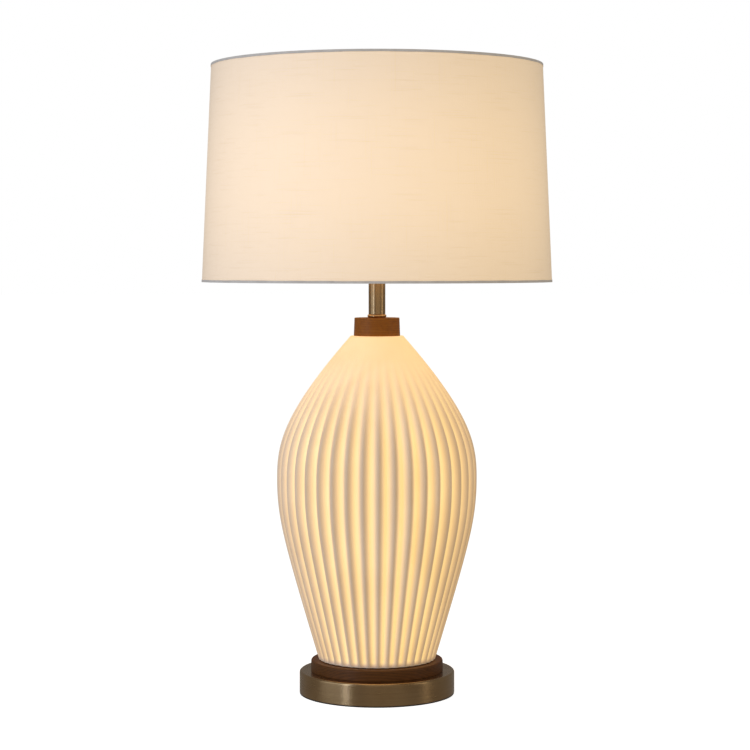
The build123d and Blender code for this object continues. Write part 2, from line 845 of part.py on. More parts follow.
nodes = {
    "felt_pad": make_felt_pad(),
    "base_cover": make_base_cover(),
    "cord_inlet": make_cord_inlet(),
    "base_weight": make_base_weight(),
    "base_washer": make_base_washer(),
    "base_nut": make_base_nut(),
    "threaded_pipe": make_threaded_pipe(),
    "wood_ring": make_wood_ring(),
    "bottom_gasket": make_bottom_gasket(),
    "ceramic_body": make_ceramic_body(),
    "wood_collar": make_wood_collar(),
    "neck_bead": make_neck_bead(),
    "neck_tube": make_neck_tube(),
    "harp_saddle": make_harp_saddle(),
    "harp": make_harp(),
    "ferrule_left": make_ferrule(-1),
    "ferrule_right": make_ferrule(1),
    "socket_cap": make_socket_cap(),
    "socket_shell": make_socket_shell(),
    "socket_liner": make_socket_liner(),
    "socket_interior": make_socket_interior(),
    "screw_shell": make_screw_shell(),
    "centre_contact": make_centre_contact(),
    "switch_knob": make_switch_knob(),
    "bulb_cap": make_bulb_cap(
        bulb_bottom,
        bulb_cap_radius,
        bulb_cap_height,
        bulb_cap_tip_radius,
        bulb_cap_tip_height,
        bulb_cap_cone_height,
    ),
    "bulb_globe": make_bulb_globe(
        bulb_cap_top,
        bulb_top,
        bulb_radius,
        bulb_neck_radius,
        bulb_neck_rise,
        bulb_shoulder_drop,
        bulb_wall,
    ),
    "night_bracket": make_night_bracket(),
    "night_clamp_screw": make_night_clamp_screw(),
    "night_socket": make_night_socket(),
    "night_socket_nut": make_night_nut(),
    "night_bulb_cap": at_night_light
    * make_bulb_cap(
        night_bulb_bottom,
        night_cap_radius,
        night_cap_height,
        night_cap_tip_radius,
        night_cap_tip_height,
        night_cap_cone_height,
    ),
    "night_bulb_globe": at_night_light
    * make_bulb_globe(
        night_cap_top,
        night_bulb_bottom + night_bulb_length,
        night_bulb_radius,
        night_bulb_neck_radius,
        night_bulb_neck_rise,
        night_bulb_shoulder_drop,
        night_bulb_wall,
    ),
    "supply_lead": make_supply_lead(),
    "branch_lead": make_branch_lead(),
    "shade_skin": make_shade_skin(),
    "shade_top_hem": make_hem(shade_top_height, -1),
    "shade_bottom_hem": make_hem(shade_bottom_height, 1),
    "shade_bottom_ring": make_bottom_ring(),
    "spider": make_spider(),
    "finial_insert": make_finial_insert(),
    "finial_knob": make_finial_knob(),
}

os.makedirs("parts", exist_ok=True)
for name, solid in nodes.items():
    export_step(solid, os.path.join("parts", name + ".step"))
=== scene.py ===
"""The looks of a table lamp: fluted ceramic body, drum shade, turned wood and aged brass.

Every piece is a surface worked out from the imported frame's own sizes. Lengths are in metres,
+Z is up along the lamp's axis, and -Y is the front.
"""

from __future__ import annotations

import logging
from dataclasses import dataclass
from enum import Enum
from math import cos, pi, radians, sin, sqrt
from types import MappingProxyType
from typing import Callable, Mapping, Sequence, Union

import bpy
import numpy as np
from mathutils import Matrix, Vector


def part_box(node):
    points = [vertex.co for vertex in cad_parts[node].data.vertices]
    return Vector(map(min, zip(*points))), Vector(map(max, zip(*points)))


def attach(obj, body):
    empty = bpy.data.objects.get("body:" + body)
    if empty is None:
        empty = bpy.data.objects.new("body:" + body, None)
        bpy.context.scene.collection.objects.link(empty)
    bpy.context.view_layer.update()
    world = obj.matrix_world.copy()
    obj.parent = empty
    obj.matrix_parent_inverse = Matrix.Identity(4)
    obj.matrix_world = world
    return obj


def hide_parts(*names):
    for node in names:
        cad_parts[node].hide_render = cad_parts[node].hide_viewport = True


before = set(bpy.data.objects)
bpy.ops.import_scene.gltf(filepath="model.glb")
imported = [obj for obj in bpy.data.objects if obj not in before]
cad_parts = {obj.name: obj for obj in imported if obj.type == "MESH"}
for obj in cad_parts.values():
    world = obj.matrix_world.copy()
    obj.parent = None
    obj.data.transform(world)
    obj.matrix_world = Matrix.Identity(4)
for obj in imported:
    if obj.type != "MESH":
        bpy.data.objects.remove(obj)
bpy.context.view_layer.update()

log = logging.getLogger("lamp")

Array = np.ndarray
Colour = tuple[float, float, float]
Triple = tuple[float, float, float]
Material = bpy.types.Material
Operator = Callable[["Signal", "Number"], "Signal"]
Piece = bpy.types.Object
Point = tuple[float, float]
Settings = Mapping[str, object]
Socket = bpy.types.NodeSocket
Stops = Sequence[tuple[float, Colour]]

AXIS: Point = (0.0, 0.0)
NOTHING: Settings = MappingProxyType({})
NO_TRIANGLES = np.empty((0, 3), int)


def pigment(red: int, green: int, blue: int) -> Colour:
    """Turn display levels into linear light.

    Args:
        red: Red level, 0 to 255.
        green: Green level, 0 to 255.
        blue: Blue level, 0 to 255.

    Returns:
        The colour as linear light, 0 to 1.
    """
    level = np.array([red, green, blue]) / 255.0
    light = np.where(level <= 0.04045, level / 12.92, ((level + 0.055) / 1.055) ** 2.4)
    return (float(light[0]), float(light[1]), float(light[2]))


# ------------------------------------------------------------------ shader maths
def both_ways(operation: str) -> tuple[Operator, Operator]:
    """An operator of Signal that adds one Math node, and its reflected form."""

    def plain(signal: Signal, other: Number) -> Signal:
        """The operation with the Signal first."""
        return signal.join(operation, signal, other)

    def reflected(signal: Signal, other: Number) -> Signal:
        """The operation with the Signal second."""
        return signal.join(operation, other, signal)

    return plain, reflected


class Signal:
    """A number on its way through a shader: arithmetic on it adds Math nodes."""

    def __init__(self, board: Board, socket: Socket) -> None:
        """Hold an output socket and the board it lies on."""
        self.board = board
        self.socket = socket

    def join(self, operation: str, first: Number, second: Number = 0.0) -> Signal:
        """Add one Math node; the second value is unused by operations on one value."""
        settings = {"operation": operation}
        return self.board.number("ShaderNodeMath", settings, {0: first, 1: second})

    __add__, __radd__ = both_ways("ADD")
    __sub__, __rsub__ = both_ways("SUBTRACT")
    __mul__, __rmul__ = both_ways("MULTIPLY")
    __truediv__, __rtruediv__ = both_ways("DIVIDE")
    __pow__, __rpow__ = both_ways("POWER")

    def sine(self) -> Signal:
        """The sine of the value in radians."""
        return self.join("SINE", self)

    def step(self, start: float, end: float) -> Signal:
        """Rise smoothly from 0 at start to 1 at end, clamped to both."""
        settings = {"interpolation_type": "SMOOTHSTEP"}
        return self.board.number("ShaderNodeMapRange", settings, {0: self, 1: start, 2: end})


Number = Union[Signal, float]


class Board:
    """The node tree of a material or a world, filled through one node-making method."""

    def __init__(self, owner: Union[str, bpy.types.World]) -> None:
        """Start with an empty tree.

        Args:
            owner: The name of a new material, or the world.
        """
        self.owner = bpy.data.materials.new(owner) if isinstance(owner, str) else owner
        self.owner.use_nodes = True
        self.tree = self.owner.node_tree
        self.tree.nodes.clear()

    def node(
        self, kind: str, settings: Settings = NOTHING, inputs: Mapping = NOTHING
    ) -> bpy.types.Node:
        """Make one node.

        Args:
            kind: The node's type.
            settings: Properties set first; "stops" fills a colour ramp.
            inputs: Socket name or number to a value, a Signal or an output socket.

        Returns:
            The new node.
        """
        made = self.tree.nodes.new(kind)
        for key, value in settings.items():
            if key == "stops":
                self.fill_ramp(made.color_ramp, value)
            else:
                setattr(made, key, value)
        for key, value in inputs.items():
            if isinstance(value, Signal):
                self.tree.links.new(value.socket, made.inputs[key])
            elif isinstance(value, Socket):
                self.tree.links.new(value, made.inputs[key])
            elif isinstance(value, tuple) and made.inputs[key].type == "RGBA":
                made.inputs[key].default_value = (*value, 1.0)
            else:
                made.inputs[key].default_value = value
        return made

    def fill_ramp(self, ramp: bpy.types.ColorRamp, stops: Stops) -> None:
        """Set a ramp's stops from (position, colour) pairs."""
        while len(ramp.elements) < len(stops):
            ramp.elements.new(1.0)
        for element, (position, colour) in zip(ramp.elements, stops):
            element.position = position
            element.color = (*colour, 1.0)

    def number(self, kind: str, settings: Settings = NOTHING, inputs: Mapping = NOTHING) -> Signal:
        """Make a node and return its first output as a Signal."""
        return Signal(self, self.node(kind, settings, inputs).outputs[0])

    def place(self) -> Socket:
        """The place in the lamp's own frame."""
        return self.node("ShaderNodeTexCoord").outputs["Object"]

    def cloth_place(self) -> Socket:
        """The place on the cloth, from its own UV map, in metres."""
        return self.node("ShaderNodeUVMap", {"uv_map": "cloth"}).outputs[0]

    def axes(self, vector: Socket) -> tuple[Signal, Signal, Signal]:
        """The three parts of a vector."""
        made = self.node("ShaderNodeSeparateXYZ", NOTHING, {0: vector})
        return tuple(Signal(self, output) for output in made.outputs)

    def attribute(self, name: str) -> Signal:
        """A number stored on the mesh."""
        made = self.node("ShaderNodeAttribute", {"attribute_name": name})
        return Signal(self, made.outputs["Fac"])

    def noise(
        self,
        vector: Socket,
        stretch: Union[Triple, float],
        detail: float = 3.0,
        warp: float = 0.0,
    ) -> Signal:
        """Cloudy noise, stretched along each axis.

        Args:
            vector: Where to sample.
            stretch: Cells per metre, along each axis or along all of them.
            detail: Layers of finer noise.
            warp: How far the noise folds over itself.

        Returns:
            A value around 0.5.
        """
        scale = stretch if isinstance(stretch, tuple) else (stretch, stretch, stretch)
        mapped = self.node("ShaderNodeMapping", NOTHING, {"Vector": vector, "Scale": scale})
        inputs = {"Vector": mapped.outputs[0], "Scale": 1.0, "Detail": detail, "Distortion": warp}
        return self.number("ShaderNodeTexNoise", NOTHING, inputs)

    def ramp(self, share: Signal, stops: Stops) -> Socket:
        """A colour looked up along a ramp."""
        return self.node("ShaderNodeValToRGB", {"stops": stops}, {0: share}).outputs[0]

    def blend(self, share: Number, first: object, second: object) -> Socket:
        """Mix two colours or colour sockets: share 0 is the first, 1 the second."""
        settings = {"data_type": "RGBA"}
        inputs = {"Factor": share, 6: first, 7: second}
        return self.node("ShaderNodeMix", settings, inputs).outputs[2]

    def bump(self, height: Signal, depth: float) -> Socket:
        """Turn a height, whose 1 stands for a depth in metres, into a normal."""
        inputs = {"Height": height, "Distance": depth, "Strength": 1.0}
        return self.node("ShaderNodeBump", NOTHING, inputs).outputs[0]

    def finish(self, **inputs: object) -> Material:
        """Close the material with one surface shader.

        Args:
            inputs: Surface inputs, with underscores for the spaces in their names.

        Returns:
            The material.
        """
        named = {key.replace("_", " "): value for key, value in inputs.items()}
        shader = self.node("ShaderNodeBsdfPrincipled", NOTHING, named)
        self.node("ShaderNodeOutputMaterial", NOTHING, {0: shader.outputs[0]})
        return self.owner


# ----------------------------------------------------------------------- finishes
@dataclass(frozen=True)
class Bisque:
    """Unglazed ceramic, lit from inside where its wall is thin."""

    clay: Colour = pigment(216, 207, 197)
    pale: Colour = pigment(228, 220, 211)
    glow_foot: Colour = (0.15, 0.08, 0.025)
    glow_thick: Colour = (0.25, 0.13, 0.025)
    glow_flank: Colour = (0.49, 0.285, 0.095)
    glow_thin: Colour = (0.78, 0.505, 0.14)
    strength: float = 1.0

    def make(self) -> Material:
        """Build the material.

        Returns:
            A chalky surface whose glow follows the mesh's own thinness.
        """
        board = Board("bisque_ceramic")
        place = board.place()
        cloud = board.noise(place, (14, 14, 9), 4.0, 0.4)
        grain = board.noise(place, 2600, 2.0)
        throwing = board.noise(place, (6, 6, 420), 3.0)
        thin = board.attribute("thinness")
        light = thin * (0.9 + cloud * 0.2)
        stops = (
            (0.0, self.glow_foot),
            (0.12, self.glow_thick),
            (0.5, self.glow_flank),
            (1.0, self.glow_thin),
        )
        glow = board.ramp(light, stops)
        height = grain * 0.7 + throwing * 0.3
        return board.finish(
            Base_Color=board.blend(cloud.step(0.35, 0.65), self.clay, self.pale),
            Roughness=0.62 + grain * 0.16,
            Normal=board.bump(height, 0.00012),
            Emission_Color=glow,
            Emission_Strength=self.strength,
        )


@dataclass(frozen=True)
class LitLinen:
    """Slubbed linen on a stiff lining, lit by the bulb behind it.

    The glow at a height is 1 / (1 + falloff x away^2), where away is the distance from the
    bulb's height in reaches; contrast is what the threads take off it.
    """

    cloth: Colour = pigment(240, 233, 226)
    thread: Colour = pigment(224, 213, 202)
    dim: Colour = (0.35, 0.222, 0.096)
    warm: Colour = (0.625, 0.418, 0.205)
    strength: float = 1.0
    bulb_height: float = 0.6
    reach: float = 0.12
    falloff: float = 0.23
    contrast: float = 0.12

    def make(self) -> Material:
        """Build the material.

        Returns:
            Cloth with warp and weft, thick slubs and a glow round the bulb's height.
        """
        board = Board("lit_linen")
        cloth_place = board.cloth_place()
        weft = board.noise(cloth_place, (55, 1500, 1), 3.0)
        warp = board.noise(cloth_place, (1500, 55, 1), 3.0)
        slub = board.noise(cloth_place, (16, 620, 1), 2.0).step(0.56, 0.74)
        upright_slub = board.noise(cloth_place, (620, 12, 1), 2.0).step(0.58, 0.76)
        cloud = board.noise(cloth_place, (5, 7, 1), 2.0)
        thread = (slub + upright_slub * 0.7) * 0.5
        height = board.axes(board.place())[2]
        away = (height - self.bulb_height) / self.reach
        near = 1.0 / (1.0 + away * away * self.falloff)
        shade = (thread + (weft - 0.5) + (warp - 0.5)) * self.contrast
        lit = near * (0.97 + cloud * 0.06) - shade
        body = weft * 0.4 + warp * 0.35 + thread * 0.5
        return board.finish(
            Base_Color=board.blend(thread + (weft - 0.5) * 0.3, self.cloth, self.thread),
            Roughness=0.86 + thread * 0.08,
            Normal=board.bump(body, 0.00022),
            Emission_Color=board.ramp(lit, ((0.56, self.dim), (1.0, self.warm))),
            Emission_Strength=self.strength,
            Sheen_Weight=0.6,
            Sheen_Roughness=0.5,
        )


@dataclass(frozen=True)
class Weave:
    """Woven tape or felt, with at most an even glow."""

    name: str
    base: Colour
    dark: Colour
    threads: float = 1300.0
    depth: float = 0.00018
    glow: Colour = (0.0, 0.0, 0.0)
    sheen: float = 0.35

    def make(self) -> Material:
        """Build the material.

        Returns:
            Matte fibres in two tones.
        """
        board = Board(self.name)
        place = board.place()
        fibres = board.noise(place, self.threads, 4.0, 0.6)
        cloud = board.noise(place, 90, 2.0)
        tone = fibres * 0.7 + cloud * 0.3
        return board.finish(
            Base_Color=board.blend(tone.step(0.3, 0.7), self.dark, self.base),
            Roughness=0.88 + fibres * 0.1,
            Normal=board.bump(fibres, self.depth),
            Emission_Color=self.glow,
            Emission_Strength=1.0,
            Sheen_Weight=self.sheen,
        )


@dataclass(frozen=True)
class TurnedMetal:
    """Metal brushed on a lathe: fine marks run round the axis, with an aged film."""

    name: str
    metal: Colour
    film: Colour
    roughness: float = 0.24
    mark_depth: float = 0.000035
    patches: float = 24.0

    def make(self) -> Material:
        """Build the material.

        Returns:
            Metal whose marks lie across Z on its sides and round the axis on its top.
        """
        board = Board(self.name)
        place = board.place()
        x, y, z = board.axes(place)
        radius = (x * x + y * y) ** 0.5
        across = board.node("ShaderNodeCombineXYZ", NOTHING, {0: x, 1: y, 2: z + radius}).outputs[0]
        marks = board.noise(across, (26, 26, 5200), 4.0)
        broad = board.noise(across, (9, 9, 900), 3.0)
        patina = board.noise(place, self.patches, 4.0, 0.8)
        film = patina.step(0.42, 0.72) * 0.55 + broad.step(0.4, 0.75) * 0.35
        return board.finish(
            Base_Color=board.blend(film, self.metal, self.film),
            Metallic=1.0 - film * 0.12,
            Roughness=self.roughness + film * 0.1 + (marks - 0.5) * 0.08,
            Normal=board.bump(marks * 0.7 + broad * 0.3, self.mark_depth),
        )


@dataclass(frozen=True)
class StainedWood:
    """Turned hardwood under a dark stain and a satin coat."""

    name: str
    stain: Colour
    grain: Colour
    pore: Colour

    def make(self) -> Material:
        """Build the material.

        Returns:
            Growth rings cut along a plank laid on X, with pores and a thin coat.
        """
        board = Board(self.name)
        place = board.place()
        wander = board.noise(place, (3.5, 26, 60), 3.0, 0.5)
        x, y, z = board.axes(place)
        heart = ((y + 0.16) ** 2.0 + (z * 2.2 + 0.05) ** 2.0) ** 0.5
        rings = ((heart + (wander - 0.5) * 0.02) * 1250.0).sine() * 0.5 + 0.5
        figure = board.noise(place, (9, 240, 420), 4.0)
        pores = board.noise(place, (60, 1900, 2600), 2.0).step(0.6, 0.72)
        tone = rings * 0.3 + figure * 0.7
        coloured = board.blend(tone.step(0.1, 0.85), self.grain, self.stain)
        return board.finish(
            Base_Color=board.blend(pores * 0.7, coloured, self.pore),
            Roughness=0.42 + figure * 0.12 + pores * 0.15,
            Normal=board.bump(1.0 - pores * 0.8 + rings * 0.15, 0.00005),
            Specular_IOR_Level=0.2,
            Coat_Weight=0.08 - pores * 0.05,
            Coat_Roughness=0.3,
        )


@dataclass(frozen=True)
class PlainStuff:
    """Plastic, rubber, card, paint, plated steel or cast iron: one tone with a skin."""

    name: str
    tone: Colour
    shadow: Colour
    roughness: float = 0.5
    metallic: float = 0.0
    cells: float = 900.0
    depth: float = 0.00003

    def make(self) -> Material:
        """Build the material.

        Returns:
            A mottled surface with a fine moulded or cast skin.
        """
        board = Board(self.name)
        place = board.place()
        skin = board.noise(place, self.cells, 3.0)
        wear = board.noise(place, 70, 3.0, 0.4)
        return board.finish(
            Base_Color=board.blend(wear.step(0.35, 0.7) * 0.6, self.tone, self.shadow),
            Metallic=self.metallic,
            Roughness=self.roughness + (wear - 0.5) * 0.14,
            Normal=board.bump(skin, self.depth),
        )


@dataclass(frozen=True)
class LitGlass:
    """A frosted bulb that is switched on, brighter on its round end than at the neck."""

    name: str
    neck_height: float
    full_height: float
    strength: float

    def material(self) -> Material:
        """Build the material.

        Returns:
            White frosted glass that glows from the neck up.
        """
        board = Board(self.name)
        place = board.place()
        frost = board.noise(place, 3000, 2.0)
        height = board.axes(place)[2]
        lit = height.step(self.neck_height, self.full_height) * (0.96 + frost * 0.08)
        glow = board.ramp(lit, ((0.0, pigment(150, 104, 60)), (1.0, pigment(255, 218, 152))))
        return board.finish(
            Base_Color=(0.9, 0.88, 0.84),
            Roughness=0.34 + frost * 0.1,
            Normal=board.bump(frost, 0.00002),
            Emission_Color=glow,
            Emission_Strength=self.strength,
        )


class Finish(Enum):
    """The finishes of the lamp, each made once."""

    BISQUE = Bisque()
    LINEN = LitLinen()
    HEM = Weave(
        "hem_tape", pigment(222, 218, 214), pigment(190, 186, 182), glow=(0.135, 0.11, 0.088)
    )
    # Near-black felt; its dark band under the drum is partly the real felt and partly painted shade
    # for the gap's shadow.
    FELT_AND_GAP_SHADE = Weave("base_felt_and_gap_shade", pigment(26, 23, 20), pigment(12, 11, 10), 900.0, 0.0004, sheen=0.04)
    BRASS = TurnedMetal("aged_brass", pigment(182, 149, 108), pigment(155, 122, 82), 0.2)
    BRIGHT_BRASS = TurnedMetal("socket_brass", pigment(206, 172, 108), pigment(150, 116, 64), 0.3)
    NICKEL = TurnedMetal("cap_nickel", pigment(214, 212, 206), pigment(150, 148, 144), 0.3)
    WOOD = StainedWood(
        "collar_wood", pigment(153, 97, 30), pigment(122, 73, 20), pigment(76, 42, 12)
    )
    # The ring's wood is the collar's stain made darker: painted shade for the shadow under the
    # ceramic's belly.
    SHADED_WOOD = StainedWood(
        "ring_wood_painted_shade", pigment(116, 70, 26), pigment(92, 53, 16), pigment(52, 28, 8)
    )
    BLACK = PlainStuff("black_moulding", pigment(24, 24, 25), pigment(36, 35, 34), 0.46)
    WHITE = PlainStuff("white_porcelain", pigment(232, 229, 222), pigment(205, 200, 190), 0.3)
    RUBBER = PlainStuff("ring_rubber", pigment(30, 27, 25), pigment(18, 17, 16), 0.75)
    IRON = PlainStuff(
        "cast_iron", pigment(58, 56, 54), pigment(36, 35, 34), 0.62, 0.8, 420.0, 0.0003
    )
    ZINC = PlainStuff("zinc_plate", pigment(184, 186, 188), pigment(140, 141, 142), 0.34, 1.0)
    CARD = PlainStuff("liner_card", pigment(96, 74, 50), pigment(70, 54, 38), 0.85)
    JACKET = PlainStuff("lead_jacket", pigment(110, 78, 42), pigment(84, 60, 34), 0.4)
    PAINT = PlainStuff("wire_paint", pigment(226, 222, 212), pigment(196, 190, 178), 0.36)

    def material(self) -> Material:
        """The finish's material, made on first use."""
        if self.name not in _made:
            _made[self.name] = self.value.make()
        return _made[self.name]


_made: dict[str, Material] = {}


# ----------------------------------------------------------------- surface making
def fill_mesh(name: str, points: Array, quads: Array, triangles: Array = NO_TRIANGLES) -> Piece:
    """Put arrays into a new mesh object.

    Args:
        name: The piece's name.
        points: Points in any arrangement.
        quads: Four vertex numbers a row.
        triangles: Three vertex numbers a row.

    Returns:
        The linked object, smooth all over.
    """
    mesh = bpy.data.meshes.new(name)
    mesh.from_pydata(points.reshape(-1, 3), [], quads.tolist() + triangles.tolist())
    mesh.shade_smooth()
    piece = bpy.data.objects.new(name, mesh)
    bpy.context.scene.collection.objects.link(piece)
    return piece


def grid_quads(rows: int, columns: int, loop_rows: bool) -> Array:
    """Quads over a grid whose columns close round.

    Formula: the quad at row i and column j joins (i, j), (i, j + 1), (i + 1, j + 1) and
    (i + 1, j), with column numbers taken round, and row numbers too if the rows loop.

    Args:
        rows: Number of rows of vertices.
        columns: Number of columns.
        loop_rows: Whether the last row joins the first.

    Returns:
        Four vertex numbers a row.
    """
    strips = rows if loop_rows else rows - 1
    i, j = np.meshgrid(np.arange(strips), np.arange(columns), indexing="ij")
    above = (i + 1) % rows
    beside = (j + 1) % columns
    row, next_row = i * columns, above * columns
    return np.stack([row + j, row + beside, next_row + beside, next_row + j], -1).reshape(-1, 4)


def looped_mesh(name: str, points: Array) -> Piece:
    """A closed piece from a grid whose rows and columns both close."""
    return fill_mesh(name, points, grid_quads(points.shape[0], points.shape[1], True))


def poled_mesh(name: str, points: Array, low_pole: Triple, high_pole: Triple) -> Piece:
    """A closed piece from a grid whose first and last rows each join to a pole.

    Args:
        name: The piece's name.
        points: Points, rows by columns by 3, from the low end up.
        low_pole: The point that closes the first row with a fan of triangles.
        high_pole: The point that closes the last row.

    Returns:
        The closed piece.
    """
    rows, columns = points.shape[:2]
    j = np.arange(columns)
    beside = (j + 1) % columns
    last = (rows - 1) * columns
    low = np.stack([np.full(columns, rows * columns), beside, j], -1)
    high = np.stack([np.full(columns, rows * columns + 1), last + j, last + beside], -1)
    vertices = np.concatenate([points.reshape(-1, 3), [low_pole, high_pole]])
    return fill_mesh(name, vertices, grid_quads(rows, columns, False), np.concatenate([low, high]))


def round_angles(columns: int) -> Array:
    """Evenly spaced angles for one turn, starting at the back seam."""
    return np.linspace(0.0, 2.0 * pi, columns, endpoint=False) + pi / 2.0


def wound(radius: Array, height: Array, angles: Array, centre: Point = AXIS) -> Array:
    """Carry radii and heights round a vertical axis.

    Formula: x = centre x + radius cos(angle), y = centre y + radius sin(angle), z = height.

    Args:
        radius: Radii, rows by columns, or rows by 1.
        height: Heights, of the same shape.
        angles: One angle a column.
        centre: The axis.

    Returns:
        Points, rows by columns by 3.
    """
    x = centre[0] + radius * np.cos(angles)
    y = centre[1] + radius * np.sin(angles)
    return np.stack([x, y, np.broadcast_to(height, x.shape)], -1)


def rounded_outline(corners: Sequence[Triple], steps: int, closed: bool = True) -> Array:
    """An outline of (radius, height) points with rounded corners.

    Formula: at a corner P the outline leaves one side at S and joins the next at E, each a
    rounding away from P, along the blend (1 - t)^2 S + 2 t (1 - t) P + t^2 E. One more point,
    0.45 of a rounding further out on each side, keeps the flat sides flat.

    Args:
        corners: (radius, height, rounding) of each corner, anticlockwise.
        steps: Points along each rounding.
        closed: Whether the last corner joins the first; if not, both ends stay sharp.

    Returns:
        The outline's points, one row each.
    """
    data = np.array(corners, float)
    place = data[:, :2]
    before = np.roll(place, 1, 0) - place
    after = np.roll(place, -1, 0) - place
    before = before / np.linalg.norm(before, axis=1, keepdims=True)
    after = after / np.linalg.norm(after, axis=1, keepdims=True)
    reach = data[:, 2:3]
    if not closed:
        reach[[0, -1]] = 0.0
    guard = 0.45
    t = np.concatenate([[-guard], np.linspace(0.0, 1.0, steps), [1.0 + guard]])[None, :, None]
    inside = np.clip(t, 0.0, 1.0)
    start = (place + before * reach)[:, None]
    end = (place + after * reach)[:, None]
    arc = (1 - inside) ** 2 * start + 2 * inside * (1 - inside) * place[:, None] + inside**2 * end
    arc = arc + np.where(t < 0, -t, 0.0) * (before * reach)[:, None]
    arc = arc + np.where(t > 1, t - 1, 0.0) * (after * reach)[:, None]
    outline = arc.reshape(-1, 2)
    gap = np.linalg.norm(outline - np.roll(outline, 1, 0), axis=1)
    return outline[(gap > 1e-7) | (np.arange(len(outline)) == 0)]


def turned_ring(name: str, outline: Array, columns: int) -> Piece:
    """A closed ring from an outline of (radius, height), up outside and down inside."""
    return looped_mesh(name, wound(outline[:, :1], outline[:, 1:], round_angles(columns)))


def turned_body(name: str, outline: Array, columns: int, centre: Point = AXIS) -> Piece:
    """A solid of revolution whose outline starts and ends on the axis.

    Args:
        name: The piece's name.
        outline: (radius, height) points from the lower pole to the upper one.
        columns: Divisions of the turn.
        centre: The axis.

    Returns:
        The closed solid.
    """
    body = outline[1:-1]
    points = wound(body[:, :1], body[:, 1:], round_angles(columns), centre)
    return poled_mesh(name, points, (*centre, outline[0, 1]), (*centre, outline[-1, 1]))


def bezier(points: Sequence[Point], count: int) -> Array:
    """A cubic curve through (radius, height) handles.

    Formula: (1 - t)^3 A + 3 (1 - t)^2 t B + 3 (1 - t) t^2 C + t^3 D.

    Args:
        points: The four handles.
        count: How many points to take.

    Returns:
        The points, one row each.
    """
    t = np.linspace(0.0, 1.0, count)[:, None]
    a, b, c, d = (np.array(point) for point in points)
    return (1 - t) ** 3 * a + 3 * (1 - t) ** 2 * t * b + 3 * (1 - t) * t**2 * c + t**3 * d


def smooth_step(value: Array, start: float, end: float) -> Array:
    """Rise from 0 at start to 1 at end with level ends, as 3 s^2 - 2 s^3."""
    share = np.clip((value - start) / (end - start), 0.0, 1.0)
    return share * share * (3.0 - 2.0 * share)


def settle(
    piece: Piece, body: str, slot: str, finish: Union[Finish, LitGlass], *nodes: str
) -> None:
    """Give a new piece its finish, its body and the nodes that it stands for.

    Args:
        piece: The new piece.
        body: The body that it rides on.
        slot: The record's material slot; not used.
        finish: Its finish.
        nodes: The frame's nodes that it replaces.
    """
    piece.data.materials.clear()
    piece.data.materials.append(finish.material())
    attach(piece, body)
    if nodes:
        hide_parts(*nodes)
    log.info("%s: %d faces on %s", piece.name, len(piece.data.polygons), body)


def dress(finish: Finish, *nodes: str) -> None:
    """Give some of the frame's own nodes one finish."""
    for node in nodes:
        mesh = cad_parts[node].data
        mesh.materials.clear()
        mesh.materials.append(finish.material())
        log.info("%s: frame's own shape", node)


@dataclass(frozen=True)
class Span:
    """The axis, radius and height of a round node, read from the frame."""

    centre: Point
    radius: float
    bottom: float
    top: float

    @classmethod
    def of(cls, node: str) -> Span:
        """Measure a node.

        Args:
            node: The node's name.

        Returns:
            Its span.
        """
        low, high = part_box(node)
        centre = ((low[0] + high[0]) / 2.0, (low[1] + high[1]) / 2.0)
        return cls(centre, (high[0] - low[0]) / 2.0, low[2], high[2])

    def sleeve(self, inner: float, low: float, high: float, inside: float) -> list[Triple]:
        """The corners of a sleeve as high and wide as this span.

        Args:
            inner: Radius of its bore.
            low: Rounding of the lower outer edge.
            high: Rounding of the upper outer edge.
            inside: Rounding of both inner edges.

        Returns:
            (radius, height, rounding) of each corner.
        """
        return [
            (self.radius, self.bottom, low),
            (self.radius, self.top, high),
            (inner, self.top, inside),
            (inner, self.bottom, inside),
        ]


